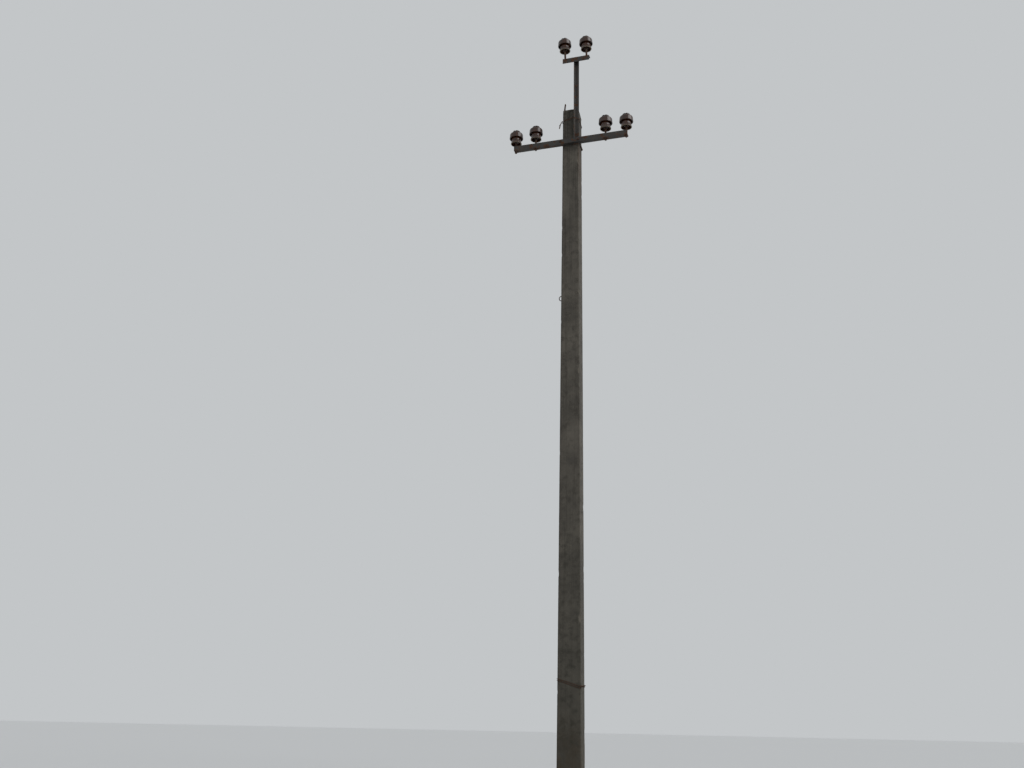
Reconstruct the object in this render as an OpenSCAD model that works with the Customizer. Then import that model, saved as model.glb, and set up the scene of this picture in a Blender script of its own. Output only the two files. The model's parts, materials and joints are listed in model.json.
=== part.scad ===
// Concrete utility pole: a tapered concrete post that carries an angle-steel crossarm, a
// riser with a short crosspiece on its head, and six pin insulators in three pairs.
// X runs along the crossarm, Y runs square to it, Z is up.
// The origin is the middle of the post's foot at ground level, and the crossarm is on the -Y face.

/* [Post] */
// Height of the post above the ground
post_height = 8105; // [6500:5:9500]
// Width of the near face at the top
post_top_width = 206; // [160:1:260]
// Width of the near face at the ground
post_base_width = 271; // [230:1:340]
// Depth of the post from its near face to its far face, the same at every height
post_depth = 205; // [140:1:240]
// How far each side face leans in on its way from the near face to the far face
side_draft = 10; // [0:1:20]
// Chamfer along the four long edges
edge_chamfer = 7; // [4:1:16]

/* [Post fittings] */
// Thickness of the reinforcing bar that stands out of the top
stub_rod = 20; // [8:1:24]
// Length of that bar above the concrete
stub_length = 105; // [40:5:200]
// Lean of that bar towards +X
stub_lean = 6; // [0:1:15]
// Concrete between that bar and the near face
stub_cover = 16; // [10:1:60]
// Distance from the top of the post down to the lifting loop
loop_drop = 2578; // [1500:1:3500]
// Thickness of the lifting loop's bar
loop_rod = 10; // [8:1:16]
// Distance between the two legs of the lifting loop, middle to middle
loop_width = 60; // [40:2:100]
// How far the lifting loop stands out of the side face
loop_reach = 59; // [40:1:90]

/* [Crossarm] */
// Length of the crossarm
arm_length = 1478; // [1000:1:2200]
// How far the middle of the crossarm is from the middle of the post, towards +X
arm_offset = 6; // [0:1:30]
// Leg of the crossarm's angle section
arm_leg = 63; // [50:1:90]
// Wall thickness of all the angle sections
angle_wall = 5; // [4:0.5:8]
// Distance from the top of the post down to the top edge of the crossarm
arm_drop = 462; // [250:1:800]
// Distance from the heel of an angle to the pins in its flat leg
arm_gauge = 35; // [28:1:50]
// Distance from the end of the crossarm to the outer pin
arm_end_margin = 20; // [14:1:60]
// Distance between the two pins of a pair on the crossarm
arm_pair_spacing = 264; // [200:1:400]

/* [Riser and crosspiece] */
// Leg of the riser's angle section
riser_leg = 56; // [40:1:58]
// Distance from the middle of the post to the middle of the riser
riser_offset = 83; // [50:1:110]
// Height of the crosspiece's top above the top of the post
cross_rise = 733; // [400:1:1200]
// Length of the crosspiece
cross_length = 352; // [280:1:600]
// Leg of the crosspiece's angle section
cross_leg = 70; // [56:1:90]
// Distance from the heel of the crosspiece's angle to its pins
cross_gauge = 38; // [28:1:50]
// Distance between the two pins on the crosspiece
cross_pair_spacing = 284; // [200:1:400]
// How far the two pins are set off from the middle of the crosspiece, towards -X
cross_pin_shift = 7; // [0:1:20]

/* [Clamp] */
// Thickness of the clamp's rod
clamp_rod = 16; // [12:1:20]
// Radius of the clamp's bends, at the middle of the rod
clamp_bend = 26; // [16:1:40]
// Nut size across its flats
clamp_nut_flats = 24; // [18:1:32]
// Nut thickness
clamp_nut_height = 13; // [8:1:20]
// Length of thread beyond the nut
clamp_thread_end = 12; // [4:1:40]

/* [Pins] */
// Thickness of a pin between its collar and the insulator
pin_shank = 25; // [20:1:30]
// Thickness of a pin inside its cap
pin_head = 22; // [16:1:24]
// Thickness of a pin's thread under the flange
pin_thread = 20; // [16:1:24]
// Diameter of the collar that rests on the flange
collar_width = 40; // [32:1:48]
// Thickness of that collar
collar_height = 6; // [4:1:12]
// Lean of the two pins on the crosspiece towards -X, because they have been pulled over
top_pin_lean = 2.5; // [0:0.5:6]
// Nut size across its flats
pin_nut_flats = 30; // [24:1:36]
// Nut thickness
pin_nut_height = 16; // [10:1:22]
// Length of thread beyond the nut
pin_thread_end = 6; // [2:1:30]

/* [Insulators] */
// Height of the outer left insulator's lower rim above its flange
outer_left_rim = 105; // [60:1:200]
// Height of the inner left insulator's lower rim above its flange
inner_left_rim = 128; // [60:1:200]
// Height of the inner right insulator's lower rim above its flange
inner_right_rim = 133; // [60:1:200]
// Height of the outer right insulator's lower rim above its flange
outer_right_rim = 112; // [60:1:200]
// Height of the top left insulator's lower rim above its flange
top_left_rim = 140; // [60:1:200]
// Height of the top right insulator's lower rim above its flange
top_right_rim = 117; // [60:1:200]
// Diameter of the upper skirt
skirt_width = 175; // [150:1:200]
// Height from the lower rim to the top of the head
insulator_height = 185; // [180:1:200]
// Diameter of the lower skirt at its rim
lower_skirt_width = 140; // [120:1:150]
// Diameter of the head
head_width = 96; // [80:1:110]
// Radius of the groove across the head
top_groove = 12; // [8:1:16]
// Diameter of the socket for the cap
socket_width = 34; // [32:1:40]

/* [Wires] */
// Thickness of the wire of the two bindings
wire = 6; // [4:1:8]
// Distance from the top of the post down to the upper binding
upper_wire_drop = 162; // [60:1:250]
// Height of the lower band on the -X side
band_left_height = 1060; // [600:1:1500]
// Height of the lower band on the +X side
band_right_height = 967; // [600:1:1500]

/* [Hidden] */
$fn = 48;
// Play between parts that fit into each other
fit = 0.2;
// Distance between a part and the curved part that it bears on
seat_gap = 0.3;
// Washer thickness, and how much wider a washer and a hole are than their rod
washer_height = 3;
washer_extra = 16;
hole_extra = 2;
// Flats round a wire
wire_sides = 10;

near_y = -post_depth / 2;
far_y = post_depth / 2;
side_slope = (post_base_width - post_top_width) / 2 / post_height;

// Half width of the near face at height z
function half_width(z) = post_top_width / 2 + side_slope * (post_height - z);

// Places of the steelwork
arm_z = post_height - arm_drop - arm_leg;
arm_y = near_y - arm_leg;
riser_x = riser_offset - riser_leg / 2;
riser_y = near_y - riser_leg;
cross_z = post_height + cross_rise;
cross_y = riser_y - angle_wall;

// Clamp round the post, in the middle of the crossarm's upright leg
clamp_z = arm_z + arm_leg / 2;
clamp_x = round(10 * (half_width(clamp_z) + seat_gap + clamp_rod / 2)) / 10;
clamp_back_y = far_y + seat_gap + clamp_rod / 2;
clamp_front_y = arm_y - washer_height - clamp_nut_height - clamp_thread_end;

// Pin seats: name, the middle of the pin on the upper face of its flange, the height of the
// insulator's lower rim above it, and the lean of the pin
outer_reach = arm_length / 2 - arm_end_margin;
inner_reach = outer_reach - arm_pair_spacing;
arm_pin_y = arm_y + arm_gauge;
arm_flange = arm_z + angle_wall;
cross_pin_y = cross_y + cross_gauge;
cross_pin_x = riser_offset - cross_pin_shift;
arm_seats = [
  ["outer_left", [arm_offset - outer_reach, arm_pin_y, arm_flange], outer_left_rim, 0],
  ["inner_left", [arm_offset - inner_reach, arm_pin_y, arm_flange], inner_left_rim, 0],
  ["inner_right", [arm_offset + inner_reach, arm_pin_y, arm_flange], inner_right_rim, 0],
  ["outer_right", [arm_offset + outer_reach, arm_pin_y, arm_flange], outer_right_rim, 0],
];
cross_seats = [
  ["top_left", [cross_pin_x - cross_pair_spacing / 2, cross_pin_y, cross_z], top_left_rim, top_pin_lean],
  ["top_right", [cross_pin_x + cross_pair_spacing / 2, cross_pin_y, cross_z], top_right_rim, top_pin_lean],
];
seats = concat(arm_seats, cross_seats);

// Heights inside an insulator, from its lower rim
socket_floor = 60;
socket_top = 140;
cap_lip = 54;
cap_flange = 4;
cap_roof = 5;

single_nodes = [
  "concrete_post", "top_bar_stub", "lifting_loop", "crossarm", "riser", "top_crosspiece",
  "arm_clamp", "arm_clamp_nuts", "arm_clamp_washers", "arm_pin_nuts", "arm_pin_washers",
  "top_pin_nuts", "top_pin_washers", "upper_wire_binding", "lower_wire_band",
];

// Everything on the inner side of a plane through point, whose outward direction is out
module inside_of(point, out) {
  reach = 2 * post_height;
  translate(point)
    rotate([0, acos(out.z / norm(out)), atan2(out.y, out.x)])
      translate([-reach, -reach, -reach])
        cube([2 * reach, 2 * reach, reach]);
}

// The +X side face with the chamfers at its two edges
module side_limits() {
  side = [1, side_draft / post_depth, side_slope];
  side_unit = side / norm(side);
  near_edge = [half_width(0), near_y, 0];
  far_edge = [half_width(0) - side_draft, far_y, 0];
  near_out = side_unit + [0, -1, 0];
  far_out = side_unit + [0, 1, 0];
  setback = edge_chamfer / sqrt(2);
  intersection() {
    inside_of(near_edge, side);
    inside_of(near_edge - near_out / norm(near_out) * setback, near_out);
    inside_of(far_edge - far_out / norm(far_out) * setback, far_out);
  }
}

module concrete_post() {
  color("DimGray")
    intersection() {
      translate([-post_base_width, near_y, 0])
        cube([2 * post_base_width, post_depth, post_height]);
      side_limits();
      mirror([1, 0, 0])
        side_limits();
    }
}

// A reinforcing bar that stands out of the concrete near the -X edge
module top_bar_stub() {
  stub_x = -(post_top_width / 2 - edge_chamfer - stub_rod / 2);
  color("SaddleBrown")
    intersection() {
      translate([stub_x, near_y + stub_cover + stub_rod / 2, post_height])
        rotate([0, stub_lean, 0])
          translate([0, 0, -stub_rod])
            cylinder(h = stub_length + stub_rod, d = stub_rod);
      translate([-post_top_width, near_y, post_height])
        cube([2 * post_top_width, post_depth, 2 * stub_length]);
    }
}

// A bent bar cast into the -X face, which the post hangs from when it is lifted
module lifting_loop() {
  loop_z = post_height - loop_drop;
  face_x = half_width(loop_z) - side_draft / 2;
  bend = loop_width / 2;
  straight = loop_reach - bend - loop_rod / 2;
  color("SaddleBrown")
    difference() {
      translate([-face_x, 0, loop_z]) {
        translate([-straight, 0, 0])
          rotate([90, 0, 0])
            rotate([0, 0, 90])
              rotate_extrude(angle = 180)
                translate([bend, 0])
                  circle(d = loop_rod);
        for (side = [-1, 1])
          translate([-straight, 0, side * bend])
            rotate([0, 90, 0])
              cylinder(h = straight + loop_rod, d = loop_rod);
      }
      mirror([1, 0, 0])
        side_limits();
    }
}

// Rolled angle section, heel at the origin, one leg along x and one along y
module angle_section(leg) {
  root = angle_wall + 1;
  toe = angle_wall / 2;
  difference() {
    union() {
      square([leg, angle_wall]);
      square([angle_wall, leg]);
      translate([angle_wall, angle_wall])
        square(root);
    }
    translate([angle_wall + root, angle_wall + root])
      circle(r = root);
    for (turn = [0, 1])
      mirror([turn, -turn])
        translate([leg - toe, angle_wall - toe])
          difference() {
            square(toe + 1);
            circle(r = toe);
          }
  }
}

module crossarm() {
  hole = clamp_rod + hole_extra;
  color("DarkSlateGray")
    difference() {
      translate([arm_offset - arm_length / 2, arm_y, arm_z])
        rotate([90, 0, 90])
          linear_extrude(arm_length)
            angle_section(arm_leg);
      for (seat = arm_seats)
        translate(seat[1] - [0, 0, 2 * angle_wall])
          cylinder(h = 3 * angle_wall, d = pin_thread + hole_extra);
      for (side = [-1, 1])
        translate([side * clamp_x, arm_y - angle_wall, clamp_z])
          rotate([-90, 0, 0])
            cylinder(h = 3 * angle_wall, d = hole);
    }
}

// Stands in the crossarm's angle with its back leg on the post, notched for the clamp. Its
// front leg is cut back at both ends, clear of the round in the root of the other angles.
module riser() {
  foot = arm_z + angle_wall;
  notch = clamp_rod + hole_extra;
  root_cut = 8 * sqrt(2);
  color("DarkSlateGray")
    difference() {
      translate([riser_x, near_y, foot])
        linear_extrude(cross_z - angle_wall - foot)
          mirror([0, 1])
            angle_section(riser_leg);
      translate([clamp_x - notch / 2, near_y - 2 * angle_wall, clamp_z - notch / 2])
        cube([riser_leg, 3 * angle_wall, notch]);
      for (end_z = [foot, cross_z - angle_wall])
        translate([riser_x, riser_y, end_z])
          rotate([45, 0, 0])
            cube([4 * angle_wall, root_cut, root_cut], center = true);
    }
}

// Its flat leg lies on the riser's head and its other leg hangs in front of the riser
module top_crosspiece() {
  color("DarkSlateGray")
    difference() {
      translate([riser_offset - cross_length / 2, cross_y, cross_z])
        rotate([90, 0, 90])
          linear_extrude(cross_length)
            mirror([0, 1])
              angle_section(cross_leg);
      for (seat = cross_seats)
        translate(seat[1] - [0, 0, 2 * angle_wall])
          cylinder(h = 3 * angle_wall, d = pin_thread + hole_extra);
    }
}

// One threaded rod bent round the back of the post
module arm_clamp() {
  bend_y = clamp_back_y - clamp_bend;
  color("SaddleBrown")
    translate([0, 0, clamp_z])
      for (side = [0, 1])
        mirror([side, 0, 0]) {
          translate([clamp_x, bend_y, 0])
            rotate([90, 0, 0])
              cylinder(h = bend_y - clamp_front_y, d = clamp_rod);
          translate([clamp_x - clamp_bend, bend_y, 0])
            rotate_extrude(angle = 90)
              translate([clamp_bend, 0])
                circle(d = clamp_rod);
          translate([0, clamp_back_y, 0])
            rotate([0, 90, 0])
              cylinder(h = clamp_x - clamp_bend, d = clamp_rod);
        }
}

// Hexagon nut with its chamfered face up
module nut(flats, height, rod) {
  corner = flats / 2 / cos(30);
  difference() {
    intersection() {
      cylinder(h = height, r = corner, $fn = 6);
      cylinder(h = height, r1 = corner + height, r2 = flats / 2);
    }
    translate([0, 0, -1])
      cylinder(h = height + 2, d = rod + 2 * fit);
  }
}

module washer(rod) {
  difference() {
    cylinder(h = washer_height, d = rod + washer_extra);
    translate([0, 0, -1])
      cylinder(h = washer_height + 2, d = rod + hole_extra);
  }
}

module arm_clamp_nuts() {
  color("SaddleBrown")
    for (side = [-1, 1])
      translate([side * clamp_x, arm_y - washer_height, clamp_z])
        rotate([90, 0, 0])
          nut(clamp_nut_flats, clamp_nut_height, clamp_rod);
}

module arm_clamp_washers() {
  color("SaddleBrown")
    for (side = [-1, 1])
      translate([side * clamp_x, arm_y, clamp_z])
        rotate([90, 0, 0])
          washer(clamp_rod);
}

module pin_nuts(places) {
  color("SaddleBrown")
    for (seat = places)
      translate(seat[1] - [0, 0, angle_wall + washer_height])
        mirror([0, 0, 1])
          nut(pin_nut_flats, pin_nut_height, pin_thread);
}

module pin_washers(places) {
  color("SaddleBrown")
    for (seat = places)
      translate(seat[1] - [0, 0, angle_wall + washer_height])
        washer(pin_thread);
}

// Places things along a pin, with its seat on the flange as their origin
module on_pin(seat) {
  translate(seat[1])
    rotate([0, -seat[3], 0])
      children();
}

// Steel pin: thread below the flange, collar on it, shank and a thinner head for the cap
module pin(seat) {
  thread_length = angle_wall + washer_height + pin_nut_height + pin_thread_end;
  shank_top = seat[2] + cap_lip - 8;
  pin_top = seat[2] + socket_top - cap_roof - fit;
  color("SaddleBrown") {
    translate(seat[1] - [0, 0, thread_length])
      cylinder(h = thread_length, d = pin_thread);
    translate(seat[1])
      cylinder(h = collar_height, d1 = collar_width, d2 = collar_width - collar_height);
    intersection() {
      on_pin(seat) {
        translate([0, 0, -angle_wall])
          cylinder(h = shank_top + angle_wall, d = pin_shank);
        translate([0, 0, shank_top])
          cylinder(h = 4, d1 = pin_shank, d2 = pin_head);
        translate([0, 0, shank_top])
          cylinder(h = pin_top - shank_top, d = pin_head);
      }
      translate(seat[1] - [pin_top, pin_top, 0])
        cube([2 * pin_top, 2 * pin_top, 2 * pin_top]);
    }
  }
}

// Plastic cap between the pin and the insulator's socket
module cap(seat) {
  color("DimGray")
    on_pin(seat)
      translate([0, 0, seat[2]])
        difference() {
          union() {
            translate([0, 0, cap_lip])
              cylinder(h = cap_flange, d = socket_width + 8);
            translate([0, 0, cap_lip])
              cylinder(h = socket_top - fit - cap_lip, d = socket_width - 2 * fit);
          }
          translate([0, 0, cap_lip - 1])
            cylinder(h = socket_top - cap_roof - cap_lip + 1, d = pin_head + 2 * fit);
        }
}

// Half section of an insulator: two skirts with a deep gap between them, a neck and a head
module insulator_section() {
  rim = skirt_width / 2;
  low_rim = lower_skirt_width / 2;
  head = head_width / 2;
  upper_rim_z = 75;
  shoulder_z = 150;
  shoulder = 22;
  neck_z = 162;
  lip = 5;
  inner_wall = 61;
  difference() {
    union() {
      // Lower skirt
      polygon([[0, 0], [low_rim - lip, 0], [low_rim, lip], [inner_wall, 42], [inner_wall, 120], [0, 120]]);
      translate([low_rim - lip, lip])
        circle(r = lip);
      // Upper skirt with its round shoulder
      polygon([
        [0, 90], [rim - 2 * lip, upper_rim_z + lip], [rim, upper_rim_z + lip],
        [rim - 3, shoulder_z - shoulder], [rim - 3 - shoulder, shoulder_z], [0, shoulder_z + 4],
      ]);
      translate([rim - lip, upper_rim_z + lip])
        circle(r = lip);
      translate([rim - 3 - shoulder, shoulder_z - shoulder])
        circle(r = shoulder);
      // Head
      square([head - 8, insulator_height]);
      square([head, insulator_height - 8]);
      translate([head - 8, insulator_height - 8])
        circle(r = 8);
    }
    // Neck groove
    translate([head + 2, neck_z])
      circle(r = 10);
    // Gap between the skirts
    polygon([[inner_wall, 40], [rim - 2 * lip, 40], [rim - 2 * lip, upper_rim_z + lip], [rim - 11, 112], [inner_wall, 112]]);
    translate([(inner_wall + rim - 11) / 2, 112])
      circle(d = rim - 11 - inner_wall);
    // Hollow of the lower skirt, then the socket
    translate([0, -1])
      square([low_rim - 2 * lip, 1 + lip]);
    polygon([[0, lip], [low_rim - 2 * lip, lip], [50, 38], [38, 56], [socket_width / 2, socket_floor], [0, socket_floor]]);
    square([socket_width / 2, socket_top]);
    // Nothing crosses the axis
    translate([-rim, -1])
      square([rim, insulator_height + 2]);
  }
}

// Porcelain insulator, with the groove across its head square to the crossarm
module insulator(seat) {
  color("#4a2c20")
    on_pin(seat)
      translate([0, 0, seat[2]])
        difference() {
          rotate_extrude($fn = 96)
            insulator_section();
          translate([0, -head_width, insulator_height + top_groove / 4])
            rotate([-90, 0, 0])
              cylinder(h = 2 * head_width, r = top_groove);
        }
}

// The points round a wire at one point of its path, on the plane that halves the bend there
function wire_ring(points, i) =
  let (
    last = len(points) - 1,
    into = i > 0 ? points[i] - points[i - 1] : points[1] - points[0],
    out = i < last ? points[i + 1] - points[i] : into,
    along = into / norm(into),
    half_way = along + out / norm(out),
    level = cross(along, [0, 0, 1]) / norm(cross(along, [0, 0, 1])),
    upright = cross(level, along)
  )
  [for (k = [0:wire_sides - 1]) let (
    angle = k * 360 / wire_sides,
    off = (level * cos(angle) + upright * sin(angle)) * wire / 2
  ) points[i] + off - along * (off * half_way) / (along * half_way)];

// A wire through a list of points, with flats round it and a mitre at each bend
module wire_through(points) {
  n = wire_sides;
  runs = len(points) - 1;
  rings = [for (i = [0:runs]) for (point = wire_ring(points, i)) point];
  start_cap = [for (k = [0:n - 1]) n - 1 - k];
  end_cap = [for (k = [0:n - 1]) runs * n + k];
  sides = [for (i = [0:runs - 1]) for (k = [0:n - 1]) for (half = [0, 1])
    let (a = i * n + k, b = i * n + (k + 1) % n)
    half == 0 ? [a, b, b + n] : [a, b + n, a + n]];
  polyhedron(points = rings, faces = concat([start_cap], sides, [end_cap]), convexity = 8);
}

// The two points of a wire where it turns a chamfered corner of the post, in going round
// from the near face over +X to the far face and over -X back to the near face
function wire_corner(side, end, z) =
  let (
    off = wire / 2 + seat_gap,
    x = half_width(z) - (end > 0 ? side_draft : 0) + off,
    y = post_depth / 2 + off,
    on_side = [side * x, end * (y - 0.7 * edge_chamfer), z],
    on_end = [side * (x - 0.7 * edge_chamfer), end * y, z]
  )
  side * end < 0 ? [on_end, on_side] : [on_side, on_end];

// Wire wound twice round the post and the riser, with its two ends loose at the -X edge
module upper_wire_binding() {
  off = wire / 2 + seat_gap;
  pitch = 1.3 * wire;
  top = post_height - upper_wire_drop;
  turns = [for (turn = [0, 1]) for (point = concat(
    wire_corner(-1, -1, top - turn * pitch),
    [
      [riser_x, riser_y - off, top - turn * pitch],
      [riser_x + angle_wall, riser_y - off, top - turn * pitch],
      [riser_x + riser_leg + off, near_y - angle_wall - off / 2, top - turn * pitch],
      [riser_x + riser_leg + off, near_y, top - turn * pitch],
    ],
    wire_corner(1, 1, top - turn * pitch),
    wire_corner(-1, 1, top - turn * pitch)
  )) point];
  last = wire_corner(-1, -1, top - 2 * pitch)[0];
  first = turns[0];
  color("SaddleBrown")
    wire_through(concat(
      [first + [-32, -24, -118], first + [-14, -12, -8]],
      turns,
      [last, last + [-12, 2, -4], last + [-46, 8, -40]]
    ));
}

// Wire wound twice round the foot of the post on a slant, tied off on the +X side
module lower_wire_band() {
  pitch = 1.6 * wire;
  turns = [for (turn = [0, 1]) for (point = concat(
    wire_corner(1, -1, band_right_height - turn * pitch),
    wire_corner(1, 1, band_right_height - turn * pitch),
    wire_corner(-1, 1, band_left_height - turn * pitch),
    wire_corner(-1, -1, band_left_height - turn * pitch)
  )) point];
  last = wire_corner(1, -1, band_right_height - 2 * pitch);
  first = turns[0];
  color("SaddleBrown")
    wire_through(concat(
      [first + [22, -6, -2], first + [12, -10, 8]],
      turns,
      last,
      [last[1] + [14, -4, -8]]
    ));
}

concrete_post();
top_bar_stub();
lifting_loop();
crossarm();
riser();
top_crosspiece();
arm_clamp();
arm_clamp_nuts();
arm_clamp_washers();
pin_nuts(arm_seats);  // arm_pin_nuts
pin_washers(arm_seats);  // arm_pin_washers
pin_nuts(cross_seats);  // top_pin_nuts
pin_washers(cross_seats);  // top_pin_washers
upper_wire_binding();
lower_wire_band();
for (seat = seats) {
  pin(seat);
  cap(seat);
  insulator(seat);
}
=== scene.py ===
"""Looks for a concrete utility pole with a steel crossarm, a riser and six pin insulators."""

import json
import math

import bmesh
import bpy
from mathutils import Matrix, Vector, noise


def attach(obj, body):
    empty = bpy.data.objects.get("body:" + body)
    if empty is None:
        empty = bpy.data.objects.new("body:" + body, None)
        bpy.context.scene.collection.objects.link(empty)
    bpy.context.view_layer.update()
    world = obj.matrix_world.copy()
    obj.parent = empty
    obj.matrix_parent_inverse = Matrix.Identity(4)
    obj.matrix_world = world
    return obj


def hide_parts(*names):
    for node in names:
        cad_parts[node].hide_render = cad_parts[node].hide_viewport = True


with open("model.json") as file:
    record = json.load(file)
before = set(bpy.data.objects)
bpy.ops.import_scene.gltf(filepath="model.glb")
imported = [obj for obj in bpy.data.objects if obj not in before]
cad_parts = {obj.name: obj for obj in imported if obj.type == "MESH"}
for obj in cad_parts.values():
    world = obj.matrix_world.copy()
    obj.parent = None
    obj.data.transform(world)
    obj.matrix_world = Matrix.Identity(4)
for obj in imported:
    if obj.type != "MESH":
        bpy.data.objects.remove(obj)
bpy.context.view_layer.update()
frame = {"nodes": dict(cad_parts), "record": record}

MM = 0.001
TURN = 2 * math.pi

# Places of the pole, in metres, as the part's source has them
POST_HEIGHT = 8.105
POST_TOP_WIDTH = 0.206
POST_BASE_WIDTH = 0.271
POST_DEPTH = 0.205
SIDE_DRAFT = 0.010
EDGE_CHAMFER = 0.007
NEAR_Y = -POST_DEPTH / 2
FAR_Y = POST_DEPTH / 2
ARM_FLANGE = 7.585
CROSS_FLANGE = 8.838
RISER_X = 0.055
RISER_LEG = 0.056
RISER_Y = NEAR_Y - RISER_LEG
WALL = 0.005
WIRE = 0.006
CLAMP_X = 0.1133
CLAMP_Z = 7.6115
CLAMP_BACK_Y = 0.1108
CLAMP_FRONT_Y = -0.1935
LOOP_Z = 5.527

# The clamp's rod as it is bent: where its plain part ends in front, its thickness and the bend
# at each back corner
CLAMP_PLAIN_Y = -0.125
CLAMP_ROD = 0.0158
CLAMP_BEND = 0.018
# From the concrete and from the riser to the middle of a wire
OFF_POST = WIRE / 2 + 0.0008
OFF_RISER = WIRE / 2 + 0.0003

# Points on each side face of the post, as distances from its two corners
FROM_CORNER = (0.007, 0.011, 0.016, 0.022, 0.030, 0.045, 0.070)
# Rows of points up the post: at the foot, then in even steps, then down from the top
FOOT_ROWS = (0.0, 0.004, 0.009, 0.015)
ROW_STEP = 0.0101
EVEN_ROWS = 792
TOP_ROWS = (0.070, 0.060, 0.050, 0.041, 0.033, 0.026, 0.020, 0.014, 0.009, 0.004, 0.0)
# The squares that the top is cut into, so that it can be broken
TOP_SQUARE = 0.0187
# A cut this much deeper than the chamfer is a chip, and shows broken concrete
CHIP_START = 0.004
# How far a break must cut into the top to show broken concrete
BARE_CUT = 0.0006

# The floor and the backdrop
PALE_GREY = "#c3c6c8"

# Each pin: its seat on the flange, the height of its insulator's lower rim and its lean
SEATS = {
    "outer_left": (Vector((-0.713, -0.1305, ARM_FLANGE)), 0.105, 0.0),
    "inner_left": (Vector((-0.449, -0.1305, ARM_FLANGE)), 0.128, 0.0),
    "inner_right": (Vector((0.461, -0.1305, ARM_FLANGE)), 0.133, 0.0),
    "outer_right": (Vector((0.725, -0.1305, ARM_FLANGE)), 0.112, 0.0),
    "top_left": (Vector((-0.066, -0.1255, CROSS_FLANGE)), 0.140, 2.5),
    "top_right": (Vector((0.218, -0.1255, CROSS_FLANGE)), 0.117, 2.5),
}


def half_width(z):
    """Half the width of the post's near face at a height."""
    return POST_TOP_WIDTH / 2 + (POST_BASE_WIDTH - POST_TOP_WIDTH) / 2 * (1 - z / POST_HEIGHT)


def along_pin(name):
    """The matrix that stands a piece on a pin's seat, with the pin's lean."""
    seat, _, lean = SEATS[name]
    return Matrix.Translation(seat) @ Matrix.Rotation(-math.radians(lean), 4, "Y")


# Shader helpers

def paint(code):
    """An sRGB hex colour as linear RGBA."""
    parts = [int(code[i:i + 2], 16) / 255 for i in (1, 3, 5)]
    linear = [c / 12.92 if c <= 0.04045 else ((c + 0.055) / 1.055) ** 2.4 for c in parts]
    return (*linear, 1.0)


def every(size):
    """The scale of a pattern whose features are so many millimetres apart."""
    return 1000 / size


def add(tree, kind, *values, sockets=None, **settings):
    """Adds a node with its settings, and fills its sockets in their order, then by name.
    A node that is given as a value stands for its first output."""
    node = tree.nodes.new("ShaderNode" + kind)
    for name, value in settings.items():
        setattr(node, name, value)
    live = [socket for socket in node.inputs if socket.enabled]
    filled = list(zip(live, values))
    for name, value in (sockets or {}).items():
        filled.append((next(socket for socket in live if socket.name == name), value))
    for socket, value in filled:
        if isinstance(value, bpy.types.Node):
            value = next(output for output in value.outputs if output.enabled)
        if isinstance(value, bpy.types.NodeSocket):
            tree.links.new(value, socket)
        else:
            socket.default_value = value
    return node


def new_material(name):
    """An empty material and its node tree."""
    material = bpy.data.materials.new(name)
    material.use_nodes = True
    material.node_tree.nodes.clear()
    return material, material.node_tree


# Materials

def rust_tears(tree, axes, streaks, colour):
    """Brown runs on the concrete below each piece of steel, over the colour that it has."""
    x, y, z = axes
    # Each tear: the axis it is placed on, its middle on it, its upper end, length and width, and
    # its strength, or the fade along the other axis that keeps it to one side of the post
    near_side = add(tree, "MapRange", y, -0.03, -0.07)
    loop_side = add(tree, "MapRange", x, -0.09, -0.1)
    tears = [
        (x, -CLAMP_X + 0.008, CLAMP_Z - 0.03, 1.5, 0.016, 0.6),
        (x, CLAMP_X - 0.008, CLAMP_Z - 0.03, 1.2, 0.014, 0.6),
        (x, -0.085, POST_HEIGHT + 0.01, 0.55, 0.012, near_side),
        (y, 0.0, LOOP_Z + 0.030, 0.3, 0.006, loop_side),
        (y, 0.0, LOOP_Z - 0.030, 0.9, 0.012, loop_side),
    ]
    patchy = add(tree, "MapRange", streaks, 0.4, 0.62, 0.1, 0.75)
    wobble = add(tree, "MapRange", streaks, 0.3, 0.7, -0.006, 0.006)
    for across, middle, top, length, width, strength in tears:
        off = add(tree, "Math", across, middle, operation="SUBTRACT")
        off = add(tree, "Math", off, wobble, operation="ADD")
        off = add(tree, "Math", off, operation="ABSOLUTE")
        tear = add(tree, "MapRange", off, width, width * 0.2)
        run_out = add(tree, "MapRange", z, top - length, top - 0.02)
        begin = add(tree, "MapRange", z, top + 0.004, top - 0.004)
        for factor in (patchy, run_out, begin, strength):
            tear = add(tree, "Math", tear, factor, operation="MULTIPLY")
        colour = add(tree, "Mix", tear, colour, paint("#4a2f1c"), data_type="RGBA")
    return colour


def stones_in_mortar(tree, place, pale_grain):
    """The inside of the concrete: stones of 5 to 15 mm in coarse mortar. Returns its colour, and
    how far each stone stands out."""
    ragged = add(tree, "TexNoise", place, every(17), 3.0, 0.5).outputs["Color"]
    ragged = add(tree, "VectorMath", ragged, (0.012, 0.012, 0.012), place, operation="MULTIPLY_ADD")
    stones = add(tree, "TexVoronoi", ragged, sockets={"Scale": every(16)})
    kind = add(tree, "SeparateColor", stones.outputs["Color"])
    girth = add(tree, "MapRange", kind.outputs["Red"], 0.2, 1.0, 0.02, 0.6)
    inside = add(tree, "Math", girth, stones, operation="SUBTRACT")
    stone = add(tree, "MapRange", inside, 0.0, 0.05)
    dome = add(tree, "MapRange", inside, -0.02, 0.3, interpolation_type="SMOOTHSTEP")
    tone = kind.outputs["Green"]
    pebble = add(tree, "Mix", tone, paint("#37332d"), paint("#766e63"), data_type="RGBA")
    mortar = add(tree, "Mix", pale_grain, paint("#4c4740"), paint("#8a8274"), data_type="RGBA")
    return add(tree, "Mix", stone, mortar, pebble, data_type="RGBA"), dome


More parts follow.
